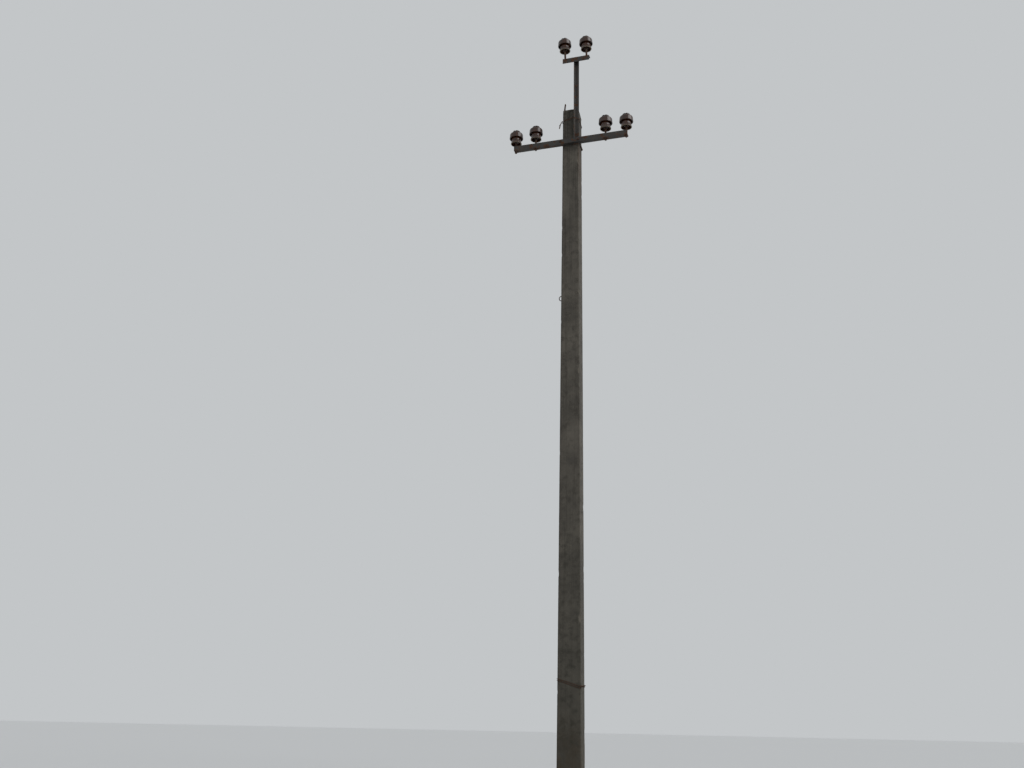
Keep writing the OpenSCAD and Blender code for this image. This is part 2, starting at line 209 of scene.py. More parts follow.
def form_cast_concrete():
    """Grey cement cast and vibrated in a steel form, then left in the rain for decades.
    The eye gets a dark, damp, matt grey with a fine sandy grain, scattered air pores, darker
    streaks that run down from the top, a greener foot, and brown tears under each steel piece."""
    material, tree = new_material("form_cast_concrete")
    place = add(tree, "TexCoord").outputs["Object"]
    x, y, z = add(tree, "SeparateXYZ", place).outputs

    # Cloudy cement, in patches of about 300 mm and 60 mm
    clouds = add(tree, "TexNoise", place, every(310), 3.0, 0.5)
    clouds = add(tree, "MapRange", clouds, 0.35, 0.65)
    colour = add(tree, "Mix", clouds, paint("#423f3a"), paint("#56524b"), data_type="RGBA")
    patches = add(tree, "TexNoise", place, every(62), 4.0, 0.5)
    patches = add(tree, "MapRange", patches, 0.48, 0.75)
    colour = add(tree, "Mix", patches, colour, paint("#393631"), data_type="RGBA")
    # Sand grains of about 2 mm, each with a tone of its own, where rain has washed the skin off
    sand = add(tree, "TexVoronoi", place, sockets={"Scale": every(2.2)})
    tone = add(tree, "SeparateColor", sand.outputs["Color"])
    washed = add(tree, "TexNoise", place, every(90), 6.0, 0.6)
    washed = add(tree, "MapRange", washed, 0.38, 0.62, 0.15, 0.5)
    pale_grain = add(tree, "MapRange", tone.outputs["Red"], 0.5, 1.0)
    pale_grain = add(tree, "Math", pale_grain, washed, operation="MULTIPLY")
    colour = add(tree, "Mix", pale_grain, colour, paint("#7d766a"), data_type="RGBA")
    dark_grain = add(tree, "MapRange", tone.outputs["Green"], 0.6, 1.0)
    dark_grain = add(tree, "Math", dark_grain, washed, operation="MULTIPLY")
    colour = add(tree, "Mix", dark_grain, colour, paint("#25231f"), data_type="RGBA")
    grain = add(tree, "MapRange", sand, 0.1, 0.6, 1.0, 0.0)
    grain = add(tree, "Math", grain, washed, operation="MULTIPLY")
    # Rain streaks, about 20 mm wide and over a metre long
    falling = add(tree, "Mapping", place, sockets={"Scale": (every(18), every(18), every(900))})
    streaks = add(tree, "TexNoise", falling, 1.0, 4.0, 0.6)
    streak = add(tree, "MapRange", streaks, 0.47, 0.72)
    reach = add(tree, "MapRange", z, 2.0, POST_HEIGHT, 0.3, 0.8)
    broad = add(tree, "MapRange", patches, 0.0, 1.0, 0.7, 1.0)
    wet = add(tree, "Math", streak, reach, operation="MULTIPLY")
    wet = add(tree, "Math", wet, broad, operation="MULTIPLY")
    colour = add(tree, "Mix", wet, colour, paint("#23211d"), data_type="RGBA")
    # Soot in blotches of about 45 mm, on the top 0.7 m
    crown = add(tree, "MapRange", z, POST_HEIGHT - 0.7, POST_HEIGHT - 0.02, 0.0, 0.8)
    soot = add(tree, "TexNoise", place, every(45), 5.0, 0.5)
    soot = add(tree, "MapRange", soot, 0.35, 0.62)
    crown = add(tree, "Math", crown, soot, operation="MULTIPLY")
    colour = add(tree, "Mix", crown, colour, paint("#24231e"), data_type="RGBA")
    # Damp and a dark green film, which have crept up from the foot to about 3.5 m
    damp = add(tree, "MapRange", z, 3.5, 0.5, 0.0, 0.6)
    damp = add(tree, "Math", damp, broad, operation="MULTIPLY")
    colour = add(tree, "Mix", damp, colour, paint("#25261e"), data_type="RGBA")
    # Mud splashed on the foot, up to 0.75 m
    splash = add(tree, "MapRange", z, 0.75, 0.0, 0.0, 0.75)
    mud = add(tree, "TexNoise", place, every(70), 5.0, 0.5)
    mud = add(tree, "MapRange", mud, 0.3, 0.6)
    splash = add(tree, "Math", splash, mud, operation="MULTIPLY")
    colour = add(tree, "Mix", splash, colour, paint("#3f3528"), data_type="RGBA")

    colour = rust_tears(tree, (x, y, z), streaks, colour)

    # Air pores of 2 to 6 mm, in one cell out of three, each darkened inside as painted shade in its
    # hollow
    cells = add(tree, "TexVoronoi", place, sockets={"Scale": every(26)})
    pick = add(tree, "SeparateColor", cells.outputs["Color"])
    size = add(tree, "MapRange", pick, 0.62, 1.0, 0.0, 0.13)
    pore = add(tree, "Math", cells, size, operation="SUBTRACT")
    pore = add(tree, "MapRange", pore, 0.02, -0.02)
    pore_painted_shade = add(tree, "Math", pore, 0.8, operation="MULTIPLY")
    colour = add(tree, "Mix", pore_painted_shade, colour, paint("#191814"), data_type="RGBA")
    # Broken edges show what is inside
    broken = add(tree, "Attribute", attribute_name="broken").outputs["Fac"]
    fresh, dome = stones_in_mortar(tree, place, pale_grain)
    weathered = add(tree, "Math", broken, 0.85, operation="MULTIPLY")
    colour = add(tree, "Mix", weathered, colour, fresh, data_type="RGBA")

    # The far face was the open side of the form, and was floated by hand
    floated = add(tree, "MapRange", y, FAR_Y - 0.0012, FAR_Y - 0.0004)
    strokes = add(tree, "TexNoise", place, every(40), 3.0, sockets={"Distortion": 1.2})
    strokes = add(tree, "Math", strokes, floated, operation="MULTIPLY")
    bump = add(tree, "Bump", sockets={"Height": strokes, "Distance": 0.006})
    bump = add(tree, "Bump", sockets={"Height": grain, "Distance": 0.0010, "Normal": bump})
    proud = add(tree, "Math", dome, broken, operation="MULTIPLY")
    bump = add(tree, "Bump", sockets={"Height": proud, "Distance": 0.003, "Normal": bump})
    hollow = add(tree, "Math", pore, -1.0, operation="MULTIPLY")
    bump = add(tree, "Bump", sockets={"Height": hollow, "Distance": 0.0025, "Normal": bump})
    rough = add(tree, "MapRange", streak, 0.0, 1.0, 0.88, 0.97)
    shader = add(tree, "BsdfPrincipled", sockets={
        "Base Color": colour, "Roughness": rough, "Normal": bump, "Specular IOR Level": 0.3})
    add(tree, "OutputMaterial", shader)
    return material


def painted_rolled_steel():
    """Hot-rolled angle with one coat of dark paint, brushed on and long since broken.
    The eye gets a dull near-black skin, and brown rust that has crept out of pits and holes."""
    material, tree = new_material("painted_rolled_steel")
    place = add(tree, "TexCoord").outputs["Object"]
    # Paint, in two tones about 110 mm across
    tones = add(tree, "TexNoise", place, every(110), 3.0, 0.5)
    tones = add(tree, "MapRange", tones, 0.4, 0.7)
    colour = add(tree, "Mix", tones, paint("#242321"), paint("#32302c"), data_type="RGBA")
    # Rust in patches of about 80 mm with ragged edges, round each pin, and in specks of 5 mm
    crust = add(tree, "TexNoise", place, every(14), 6.0, 0.6)
    patches = add(tree, "TexNoise", place, every(77), 4.0, 0.5)
    patches = add(tree, "Math", crust, 0.30, patches, operation="MULTIPLY_ADD")
    patches = add(tree, "MapRange", patches, 0.70, 0.73)
    for seat, _, _ in SEATS.values():
        reach = add(tree, "VectorMath", place, seat, operation="DISTANCE")
        reach = add(tree, "Math", crust, -0.05, reach, operation="MULTIPLY_ADD")
        ring = add(tree, "MapRange", reach, 0.016, 0.012)
        patches = add(tree, "Math", patches, ring, operation="MAXIMUM")
    specks = add(tree, "TexNoise", place, every(5.5), 3.0, 0.5)
    specks = add(tree, "MapRange", specks, 0.58, 0.66, 0.0, 0.8)
    rust = add(tree, "Math", patches, specks, operation="MAXIMUM")
    thick = add(tree, "MapRange", crust, 0.35, 0.65)
    brown = add(tree, "Mix", thick, paint("#291a12"), paint("#4f321b"), data_type="RGBA")
    colour = add(tree, "Mix", rust, colour, brown, data_type="RGBA")
    # Pale dust in broad patches
    dust = add(tree, "TexNoise", place, every(200), 5.0, 0.5)
    dust = add(tree, "MapRange", dust, 0.5, 0.8, 0.0, 0.25)
    colour = add(tree, "Mix", dust, colour, paint("#524e46"), data_type="RGBA")
    rough = add(tree, "MapRange", rust, 0.0, 1.0, 0.58, 0.92)
    # Pits of the mill scale, 2 to 4 mm, and the thickness of the rust
    pits = add(tree, "TexNoise", place, every(4), 4.0)
    bump = add(tree, "Bump", sockets={"Height": pits, "Distance": 0.0005})
    bump = add(tree, "Bump", sockets={"Height": rust, "Distance": 0.0004, "Normal": bump})
    shader = add(tree, "BsdfPrincipled", sockets={
        "Base Color": colour, "Roughness": rough, "Normal": bump})
    add(tree, "OutputMaterial", shader)
    return material


def rusted_forgings():
    """Pins, nuts, washers and the clamp rod: forged steel whose thin zinc has gone.
    The eye gets a rough brown crust with flecks of orange and a few dull grey spots of zinc."""
    material, tree = new_material("rusted_forgings")
    place = add(tree, "TexCoord").outputs["Object"]
    tones = add(tree, "TexNoise", place, every(17), 6.0, 0.6)
    tones = add(tree, "MapRange", tones, 0.35, 0.68)
    colour = add(tree, "Mix", tones, paint("#2a1c14"), paint("#4c311f"), data_type="RGBA")
    # Spots of zinc, about 30 mm across
    zinc = add(tree, "TexNoise", place, every(30), 4.0, 0.5)
    zinc = add(tree, "MapRange", zinc, 0.56, 0.64)
    grey = add(tree, "Math", zinc, 0.75, operation="MULTIPLY")
    colour = add(tree, "Mix", grey, colour, paint("#56534d"), data_type="RGBA")
    # Flecks of orange, about 2 mm across
    fleck = add(tree, "TexNoise", place, every(2.4), 2.0, 0.5)
    fleck = add(tree, "MapRange", fleck, 0.6, 0.68, 0.0, 0.6)
    colour = add(tree, "Mix", fleck, colour, paint("#684325"), data_type="RGBA")
    rough = add(tree, "MapRange", zinc, 0.0, 1.0, 0.9, 0.55)
    crust = add(tree, "TexNoise", place, every(2.6), 5.0, 0.65)
    bump = add(tree, "Bump", sockets={"Height": crust, "Distance": 0.0006})
    shader = add(tree, "BsdfPrincipled", sockets={
        "Base Color": colour, "Roughness": rough, "Normal": bump})
    add(tree, "OutputMaterial", shader)
    return material


def brown_glazed_porcelain():
    """Hard porcelain, turned, dipped in brown glaze and fired.
    The eye gets a deep brown glass skin with darker runs, grey dust on the parts that face up,
    and a pale unglazed ring where the lower rim stood in the kiln."""
    material, tree = new_material("brown_glazed_porcelain")
    coords = add(tree, "TexCoord")
    place = coords.outputs["Object"]
    up = add(tree, "SeparateXYZ", coords.outputs["Normal"]).outputs["Z"]
    tones = add(tree, "TexNoise", place, every(42), 3.0, 0.5)
    tones = add(tree, "MapRange", tones, 0.35, 0.7)
    colour = add(tree, "Mix", tones, paint("#28150d"), paint("#3d2010"), data_type="RGBA")
    # Runs in the glaze, about 8 mm apart
    runs = add(tree, "Mapping", place, sockets={"Scale": (every(8), every(8), every(110))})
    runs = add(tree, "TexNoise", runs, 1.0, 2.0, 0.5)
    runs = add(tree, "MapRange", runs, 0.52, 0.72)
    colour = add(tree, "Mix", runs, colour, paint("#1d0f09"), data_type="RGBA")
    # Dust, thick where the glaze faces up
    film = add(tree, "TexNoise", place, every(25), 5.0, 0.5)
    film = add(tree, "MapRange", film, 0.3, 0.7)
    lying = add(tree, "MapRange", up, 0.15, 0.95, 0.02, 0.45)
    haze = add(tree, "Math", film, lying, operation="MULTIPLY")
    colour = add(tree, "Mix", haze, colour, paint("#625a4e"), data_type="RGBA")
    # The ring where the rim is bare, as a height along each pin
    bare = 0.0
    for name, (seat, rim, _) in SEATS.items():
        from_seat = add(tree, "VectorMath", place, seat, operation="SUBTRACT")
        axis = along_pin(name).to_3x3() @ Vector((0, 0, 1))
        height = add(tree, "VectorMath", from_seat, axis, operation="DOT_PRODUCT")
        off = add(tree, "Math", height, rim, operation="SUBTRACT")
        off = add(tree, "Math", off, operation="ABSOLUTE")
        ring = add(tree, "MapRange", off, 0.0022, 0.0016)
        reach = add(tree, "VectorMath", from_seat, operation="LENGTH")
        own = add(tree, "MapRange", reach, 0.18, 0.17)
        ring = add(tree, "Math", ring, own, operation="MULTIPLY")
        bare = add(tree, "Math", ring, bare, operation="MAXIMUM")
    colour = add(tree, "Mix", bare, colour, paint("#776c5b"), data_type="RGBA")
    dull = add(tree, "Math", haze, 1.5, operation="MULTIPLY")
    dull = add(tree, "Math", dull, bare, operation="MAXIMUM")
    rough = add(tree, "MapRange", dull, 0.0, 1.0, 0.12, 0.85)
    orange_peel = add(tree, "TexNoise", place, every(9), 1.0)
    bump = add(tree, "Bump", sockets={"Height": orange_peel, "Distance": 0.00014})
    shader = add(tree, "BsdfPrincipled", sockets={
        "Base Color": colour, "Roughness": rough, "Normal": bump, "IOR": 1.55})
    add(tree, "OutputMaterial", shader)
    return material


def moulded_cap_plastic():
    """Polyethylene cap, injection moulded and bleached outdoors.
    The eye gets a waxy grey with a faint scuffed grain."""
    material, tree = new_material("moulded_cap_plastic")
    place = add(tree, "TexCoord").outputs["Object"]
    tones = add(tree, "TexNoise", place, every(20), 4.0, 0.5)
    tones = add(tree, "MapRange", tones, 0.35, 0.7)
    colour = add(tree, "Mix", tones, paint("#77726a"), paint("#918b80"), data_type="RGBA")
    scuffs = add(tree, "TexNoise", place, every(1.7), 2.0)
    bump = add(tree, "Bump", sockets={"Height": scuffs, "Distance": 0.0001})
    shader = add(tree, "BsdfPrincipled", sockets={
        "Base Color": colour, "Roughness": 0.55, "Normal": bump})
    add(tree, "OutputMaterial", shader)
    return material


def rusted_iron_wire():
    """Soft drawn iron wire, black from the mill and rusted right round.
    The eye gets an even dark brown with a bloom of orange specks."""
    material, tree = new_material("rusted_iron_wire")
    place = add(tree, "TexCoord").outputs["Object"]
    tones = add(tree, "TexNoise", place, every(11), 5.0, 0.5)
    tones = add(tree, "MapRange", tones, 0.35, 0.65)
    colour = add(tree, "Mix", tones, paint("#241711"), paint("#482d19"), data_type="RGBA")
    bloom = add(tree, "TexNoise", place, every(2), 2.0, 0.5)
    bloom = add(tree, "MapRange", bloom, 0.56, 0.7, 0.0, 0.6)
    colour = add(tree, "Mix", bloom, colour, paint("#6e4423"), data_type="RGBA")
    pits = add(tree, "TexNoise", place, every(1.4), 3.0)
    bump = add(tree, "Bump", sockets={"Height": pits, "Distance": 0.0004})
    shader = add(tree, "BsdfPrincipled", sockets={
        "Base Color": colour, "Roughness": 0.9, "Normal": bump})
    add(tree, "OutputMaterial", shader)
    return material


# Piece helpers

def finish_piece(name, bm, material, smooth_angle=40):
    """Turns a bmesh into a piece that rides on the pole, with its material and slot."""
    bmesh.ops.recalc_face_normals(bm, faces=bm.faces)
    mesh = bpy.data.meshes.new(name)
    bm.to_mesh(mesh)
    bm.free()
    mesh.materials.append(material)
    mesh.shade_smooth()
    mesh.set_sharp_from_angle(angle=math.radians(smooth_angle))
    piece = bpy.data.objects.new(name, mesh)
    bpy.context.scene.collection.objects.link(piece)
    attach(piece, "root")
    return piece


def lathe(bm, profile):
    """Spins a profile of (radius, height) points, in millimetres, round Z in 40 steps."""
    verts = [bm.verts.new((radius * MM, 0, height * MM)) for radius, height in profile]
    edges = [bm.edges.new(pair) for pair in zip(verts, verts[1:])]
    bmesh.ops.spin(bm, geom=verts + edges, axis=(0, 0, 1), cent=(0, 0, 0), dvec=(0, 0, 0),
                   angle=TURN, steps=40, use_merge=True)
    bmesh.ops.remove_doubles(bm, verts=bm.verts, dist=1e-6)


def merge(bm, part, matrix):
    """Moves one bmesh by a matrix and adds it to another."""
    bmesh.ops.transform(part, matrix=matrix, verts=part.verts)
    mesh = bpy.data.meshes.new("part")
    part.to_mesh(mesh)
    part.free()
    bm.from_mesh(mesh)
    bpy.data.meshes.remove(mesh)


def threaded_rod(radius, start, end, pitch, depth):
    """A rod along Z with a screw thread cut into it, all in millimetres, as a bmesh."""
    bm = bmesh.new()
    bmesh.ops.create_cone(bm, cap_ends=True, segments=28, radius1=radius * MM,
                          radius2=radius * MM, depth=(end - start) * MM,
                          matrix=Matrix.Translation((0, 0, (start + end) / 2 * MM)))
    upright = [e for e in bm.edges if abs(e.verts[0].co.z - e.verts[1].co.z) > 1e-6]
    bmesh.ops.subdivide_edges(bm, edges=upright, cuts=int((end - start) / pitch * 6))
    for vert in bm.verts:
        turn = math.atan2(vert.co.y, vert.co.x) / TURN
        phase = (vert.co.z / MM / pitch - turn) % 1
        inset = depth * MM * abs(2 * phase - 1)
        vert.co -= Vector((vert.co.x, vert.co.y, 0)).normalized() * inset
    return bm


def rod_mesh(name, paths, width):
    """The mesh of a round rod through each list of (point, thickness), in metres."""
    curve = bpy.data.curves.new(name, "CURVE")
    curve.dimensions = "3D"
    curve.bevel_depth = width / 2
    curve.bevel_resolution = 4
    curve.use_fill_caps = True
    for path in paths:
        spline = curve.splines.new("POLY")
        spline.points.add(len(path) - 1)
        for point, (where, thickness) in zip(spline.points, path):
            point.co = (*where, 1.0)
            point.radius = thickness
    draft = bpy.data.objects.new(name, curve)
    mesh = bpy.data.meshes.new_from_object(draft)
    bpy.data.objects.remove(draft)
    bpy.data.curves.remove(curve)
    return mesh


def tube(name, paths, width, material, replaced=None):
    """A round wire or bead through each path, as one piece."""
    mesh = rod_mesh(name + "_draft", paths, width)
    bm = bmesh.new()
    bm.from_mesh(mesh)
    bpy.data.meshes.remove(mesh)
    piece = finish_piece(name, bm, material)
    if replaced:
        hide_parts(replaced)


def rounded(points, passes=3):
    """Cuts the corners of a path again and again until they are round."""
    points = [Vector(p) for p in points]
    for _ in range(passes):
        softer = [points[0]]
        for a, b in zip(points, points[1:]):
            softer += [a.lerp(b, 0.22), a.lerp(b, 0.78)]
        points = softer + [points[-1]]
    return points


# Pieces

def corner_wear(corner, z):
    """How far a long edge of the post is cut back at a height: chamfer, wear, nicks and chips."""
    wear = EDGE_CHAMFER + 0.0012 * (1 + noise.noise((corner * 5.3, 0, z * 2.0)))
    # Small nicks come from noise about 30 mm long and chips from noise about 125 mm long
    nick = noise.noise((corner * 3.1, 4.0, z * 34.0)) - 0.32
    chip = noise.noise((corner * 7.7, 9.0, z * 8.0)) - 0.36
    top = 0.006 * math.exp((z - POST_HEIGHT) / 0.05)
    return wear + max(0, nick) * 0.011 + max(0, chip) * 0.060 + top


def push_back(vert, point, outward):
    """Moves a vertex that is beyond a plane back onto it, and returns how far it went."""
    beyond = (vert.co - point).dot(outward)
    if beyond <= 0:
        return 0.0
    vert.co -= outward * beyond
    return beyond


def post_corners(z):
    """The post's four sharp corners at a height, from the near -X one round over +X."""
    half = half_width(z)
    return [Vector((-half, NEAR_Y, z)), Vector((half, NEAR_Y, z)),
            Vector((half - SIDE_DRAFT, FAR_Y, z)), Vector((SIDE_DRAFT - half, FAR_Y, z))]


def wear_edge(vert, corners, nearest, z, broken):
    """Cuts a point back behind the plane that halves the corner of the long edge it is near."""
    corner = corners[nearest]
    to_last = (corners[nearest - 1] - corner).normalized()
    to_next = (corners[(nearest + 1) % 4] - corner).normalized()
    inward = (to_last + to_next).normalized()
    grain = noise.noise(vert.co * 130.0) + 0.5 * noise.noise(vert.co * 330.0)
    cut = corner_wear(nearest, z + 0.012 * noise.noise(vert.co * 40.0))
    chipped = cut > EDGE_CHAMFER + CHIP_START
    depth = cut / math.sqrt(2) + (0.0016 * grain if chipped else 0.0)
    moved = push_back(vert, corner + inward * depth, -inward)
    if chipped:
        fade = min(1.0, (cut - EDGE_CHAMFER - 0.003) / 0.006)
        vert[broken] = 0.6 * fade * min(1.0, moved / 0.002)


def wrap_post(bm, broken):
    """Wraps a grid round the post, denser towards its long edges, and wears them."""
    rows = [*FOOT_ROWS]
    rows += [FOOT_ROWS[-1] + ROW_STEP * i for i in range(1, EVEN_ROWS + 1)]
    rows += [POST_HEIGHT - below for below in TOP_ROWS]
    # The points of a side: from its start, its middle, from its end, and on the chamfer after it
    middle = len(FROM_CORNER)
    chamfer = 2 * middle + 1
    around = 4 * (chamfer + 1)
    bmesh.ops.create_grid(bm, x_segments=around, y_segments=len(rows) - 1, size=0.5)
    for vert in bm.verts:
        step = round((vert.co.x + 0.5) * around) % around
        z = rows[round((vert.co.y + 0.5) * (len(rows) - 1))]
        corners = post_corners(z)
        side, place = divmod(step, chamfer + 1)
        start, end = corners[side], corners[(side + 1) % 4]
        run = (end - start).normalized()
        if place == chamfer:
            after = (corners[(side + 2) % 4] - end).normalized()
            vert.co = end + (after - run) * EDGE_CHAMFER / 2
        elif place == middle:
            vert.co = (start + end) / 2
        elif place < middle:
            vert.co = start + run * FROM_CORNER[place]
        else:
            vert.co = end - run * FROM_CORNER[chamfer - 1 - place]
        if place != middle:
            nearest = side if place < middle else (side + 1) % 4
            wear_edge(vert, corners, nearest, z, broken)
    bmesh.ops.remove_doubles(bm, verts=bm.verts, dist=1e-6)


def cap_post(bm):
    """Closes the foot with one flat face and the top with squares, which can then be broken."""
    rims = [e for e in bm.edges if e.is_boundary]
    foot = [e for e in rims if e.verts[0].co.z < 1]
    crown = [e for e in rims if e.verts[0].co.z > 1]
    bmesh.ops.contextual_create(bm, geom=foot)
    top = bmesh.ops.contextual_create(bm, geom=crown)["faces"]
    for direction in (Vector((1, 0, 0)), Vector((0, 1, 0))):
        for cut in range(-5, 5):
            parts = dict.fromkeys(part for face in top for part in (face, *face.edges, *face.verts))
            made = bmesh.ops.bisect_plane(bm, geom=list(parts), plane_no=direction,
                                          plane_co=direction * (cut + 0.5) * TOP_SQUARE)
            top = [part for part in made["geom"] if isinstance(part, bmesh.types.BMFace)]


def break_top(bm, broken):
    """Breaks the far +X corner off the top, wears the near -X one and rounds the rim."""
    half = POST_TOP_WIDTH / 2
    # A point on each break, and how far the break reaches along X, Y and Z
    breaks = [
        (Vector((half - SIDE_DRAFT, FAR_Y, POST_HEIGHT - 0.040)), (0.075, 0.210, 0.040)),
        (Vector((-half, NEAR_Y, POST_HEIGHT - 0.012)), (-0.007, -0.016, 0.011)),
    ]
    for point, reach in breaks:
        outward = Vector([1 / size for size in reach]).normalized()
        crown = dict.fromkeys(part for vert in bm.verts if vert.co.z > POST_HEIGHT - 0.1
                              for part in (vert, *vert.link_edges, *vert.link_faces))
        bmesh.ops.bisect_plane(bm, geom=list(crown), plane_co=point, plane_no=outward)
        for vert in bm.verts:
            if vert.co.z < POST_HEIGHT - 0.2:
                continue
            lump = 0.004 * noise.noise(vert.co * 32.0) + 0.0016 * noise.noise(vert.co * 140.0)
            if push_back(vert, point + outward * (lump - 0.003), outward) > BARE_CUT:
                vert[broken] = 1.0

    rim = [(Vector((x, y, POST_HEIGHT)), Vector((*out, 1)).normalized()) for x, y, out in (
        (0, NEAR_Y, (0, -1)), (0, FAR_Y, (0, 1)), (half, 0, (1, 0)), (-half, 0, (-1, 0)))]
    for vert in bm.verts:
        if vert.co.z < POST_HEIGHT - 0.06:
            continue
        for point, outward in rim:
            lump = 0.003 * noise.noise(vert.co * 22.0) + 0.0012 * noise.noise(vert.co * 120.0)
            if push_back(vert, point - outward * (0.004 + lump), outward) > BARE_CUT:
                vert[broken] = max(vert[broken], 0.6)


def worn_post(material):
    """The concrete post, with worn and chipped long edges and a corner broken off its top."""
    bm = bmesh.new()
    broken = bm.verts.layers.float.new("broken")
    wrap_post(bm, broken)
    cap_post(bm)
    break_top(bm, broken)
    piece = finish_piece("worn_concrete_post", bm, material, 32)
    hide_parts("concrete_post")


def ribbed_bar_stub(material):
    """The end of a ribbed reinforcing bar above the concrete: crescent ribs every 11 mm between
    two long ribs, and a tip that was cut off askew and then eaten by rust."""
    length, core, rib, rib_pitch, askew = 0.105, 0.0084, 0.0013, 0.011, 0.22
    bm = bmesh.new()
    bmesh.ops.create_cone(bm, cap_ends=True, segments=40, radius1=0.01, radius2=0.01, depth=length,
                          matrix=Matrix.Translation((0, 0, length / 2)))
    upright = [e for e in bm.edges if abs(e.verts[0].co.z - e.verts[1].co.z) > 0.05]
    bmesh.ops.subdivide_edges(bm, edges=upright, cuts=94)
    for vert in bm.verts:
        turn = math.atan2(vert.co.y, vert.co.x)
        height = vert.co.z
        phase = (height / rib_pitch + 0.9 * abs(turn) / math.pi) % 1
        crescent = max(0, math.cos(TURN * phase)) ** 1.5 * abs(math.sin(turn)) ** 0.8
        long_rib = 1.0 if abs(math.sin(turn)) < 0.16 else 0.0
        pitted = 0.0003 * noise.noise(vert.co * 400)
        eaten = 1 - 0.22 * max(0, (height / length - 0.8) / 0.2) ** 1.6
        radius = (core + rib * max(crescent, long_rib) + pitted) * eaten
        flat = Vector((vert.co.x, vert.co.y, 0))
        if flat.length > 1e-6:
            drop = askew * vert.co.x * (height / length) ** 8
            vert.co = flat.normalized() * radius + Vector((0, 0, height - drop))
    foot = Matrix.Translation((-0.086, NEAR_Y + 0.026, POST_HEIGHT))
    lean = Matrix.Rotation(math.radians(6), 4, "Y")
    bmesh.ops.transform(bm, matrix=foot @ lean, verts=bm.verts)
    piece = finish_piece("ribbed_bar_stub", bm, material)
    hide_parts("top_bar_stub")


def forged_pin(name, material):
    """One forged pin: a rolled thread under its flange, a collar with a round fillet and a
    straight shank, which leans from the collar up."""
    place, rim, _ = SEATS[name]
    neck = rim / MM + 44
    top = rim / MM + 134.8
    shank = bmesh.new()
    lathe(shank, [(0, 0.4), (12.3, 0.4), (12.3, 5), (12.3, 9), (12.45, 16), (12.45, neck),
                  (11, neck + 6), (11, top - 1.5), (9.5, top), (0, top)])
    collar = bmesh.new()
    lathe(collar, [(0, 0), (18.6, 0), (19.9, 0.8), (19.9, 2.6), (19.0, 3.9), (16.6, 5.2),
                   (14.6, 5.9), (12.0, 5.95), (0, 5.95)])
    seat = Matrix.Translation(place)
    bm = bmesh.new()
    merge(bm, shank, along_pin(name))
    merge(bm, collar, seat)
    merge(bm, threaded_rod(9.95, -29.9, 0, 2.5, 1.3), seat)
    piece = finish_piece("forged_pin_" + name, bm, material)
    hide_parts("pin_" + name)


def bent_clamp(material):
    """The clamp: one rod bent round the post and pulled tight along its drafted side faces, with
    a rolled thread on both of its ends."""
    front = Vector((CLAMP_X, NEAR_Y, CLAMP_Z))
    lean = SIDE_DRAFT * (CLAMP_BACK_Y - NEAR_Y) / POST_DEPTH
    corner = Vector((CLAMP_X - lean, CLAMP_BACK_Y, CLAMP_Z))
    along = (corner - front).normalized()
    inward = Vector((-along.y, along.x, 0))
    bend = along.angle(Vector((-1, 0, 0)))
    start = corner - along * CLAMP_BEND * math.tan(bend / 2)
    half = [Vector((CLAMP_X, CLAMP_PLAIN_Y, CLAMP_Z)), front]
    for step in range(13):
        angle = bend * step / 12
        half.append(start + along * CLAMP_BEND * math.sin(angle)
                    + inward * CLAMP_BEND * (1 - math.cos(angle)))
    path = half + [Vector((-p.x, p.y, p.z)) for p in reversed(half)]
    mesh = rod_mesh("clamp_draft", [[(p, 1.0) for p in path]], CLAMP_ROD)
    bm = bmesh.new()
    bm.from_mesh(mesh)
    bpy.data.meshes.remove(mesh)
    backwards = Matrix.Rotation(math.radians(-90), 4, "X")
    for side in (-1, 1):
        end = Matrix.Translation((side * CLAMP_X, CLAMP_FRONT_Y, CLAMP_Z))
        merge(bm, threaded_rod(7.95, 0, 72, 2.0, 1.05), end @ backwards)
    piece = finish_piece("bent_clamp", bm, material)
    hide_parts("arm_clamp")


def bead(start, end, seed):
    """The path of a bead of weld along a joint, with a ripple every 3 mm."""
    start, end = Vector(start), Vector(end)
    steps = int((end - start).length / 0.0015)
    path = []
    for i in range(steps + 1):
        share = i / steps
        ripple = 1 + 0.10 * math.cos(TURN * i / 2 + seed)
        ripple += 0.16 * noise.noise((i * 0.17, seed, 0))
        close = min(share, 1 - share) * steps
        path.append((start.lerp(end, share), ripple * (0.55 + 0.45 * min(1, close / 3))))
    return path


def weld_beads(material):
    """The beads that hold the riser's foot to the crossarm and its head to the crosspiece."""
    front, back = RISER_Y + 0.012, NEAR_Y - 0.002
    leg_y, leg_start, leg_end = NEAR_Y - WALL, RISER_X + 0.011, RISER_X + 0.053
    low, high = CROSS_FLANGE - 0.062, CROSS_FLANGE - 0.018
    beads = [bead((RISER_X, RISER_Y, low), (RISER_X, RISER_Y, high), 3)]
    for i, z in enumerate((ARM_FLANGE, CROSS_FLANGE - WALL)):
        beads.append(bead((RISER_X, front, z), (RISER_X, back, z), 11 + i))
        beads.append(bead((leg_start, leg_y, z), (leg_end, leg_y, z), 23 + i))
    tube("weld_beads", beads, 0.0066, material)


def wire_corner(side, end, z):
    """The two points of a wire where it turns a chamfered corner of the post."""
    x = half_width(z) - (SIDE_DRAFT if end > 0 else 0) + OFF_POST
    y = FAR_Y + OFF_POST
    on_side = Vector((side * x, end * (y - 0.7 * EDGE_CHAMFER), z))
    on_end = Vector((side * (x - 0.7 * EDGE_CHAMFER), end * y, z))
    return [on_end, on_side] if side * end < 0 else [on_side, on_end]


def slack(points, seed):
    """A path with points every 25 mm or so, which wander a little up and down."""
    out = [points[0]]
    for a, b in zip(points, points[1:]):
        pieces = max(1, round((b - a).length / 0.025))
        for i in range(1, pieces + 1):
            point = a.lerp(b, i / pieces)
            wander = 0.0022 * noise.noise(point * 19 + Vector((seed, 0, 0)))
            out.append(point + Vector((0, 0, wander)))
    return out


